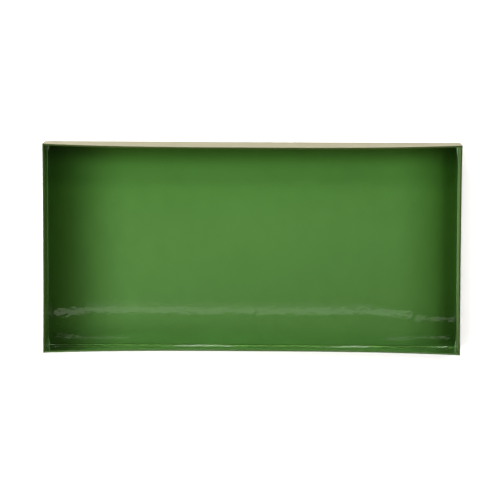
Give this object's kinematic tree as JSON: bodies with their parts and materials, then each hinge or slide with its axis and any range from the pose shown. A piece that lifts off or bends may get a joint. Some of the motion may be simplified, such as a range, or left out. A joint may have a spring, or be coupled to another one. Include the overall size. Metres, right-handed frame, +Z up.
{
  "type": "rectangular metal tray",
  "caption": "Shallow rectangular sheet-steel tray with upright walls, glossy leaf-green inside and cream outside.",
  "frame": {"origin": "middle of the underside, on the surface that the tray rests on", "axes": "+X along the length, +Y towards the back long wall, +Z up out of the tray's mouth"},
  "size_m": [0.3, 0.151, 0.03],
  "materials": {
    "green_enamel": "glossy leaf-green enamel inside and on the rim, glossy cream enamel outside and underneath",
    "weld_enamel": "glossy leaf-green enamel pooled over a weld bead"
  },
  "bodies": {
    "root": {"channel_pan": "green_enamel", "end_plate_left": "green_enamel", "end_plate_right": "green_enamel", "foot_weld_left": "weld_enamel", "foot_weld_right": "weld_enamel", "corner_weld_front_left": "weld_enamel", "corner_weld_front_right": "weld_enamel", "corner_weld_back_left": "weld_enamel", "corner_weld_back_right": "weld_enamel"}
  },
  "joints": []
}
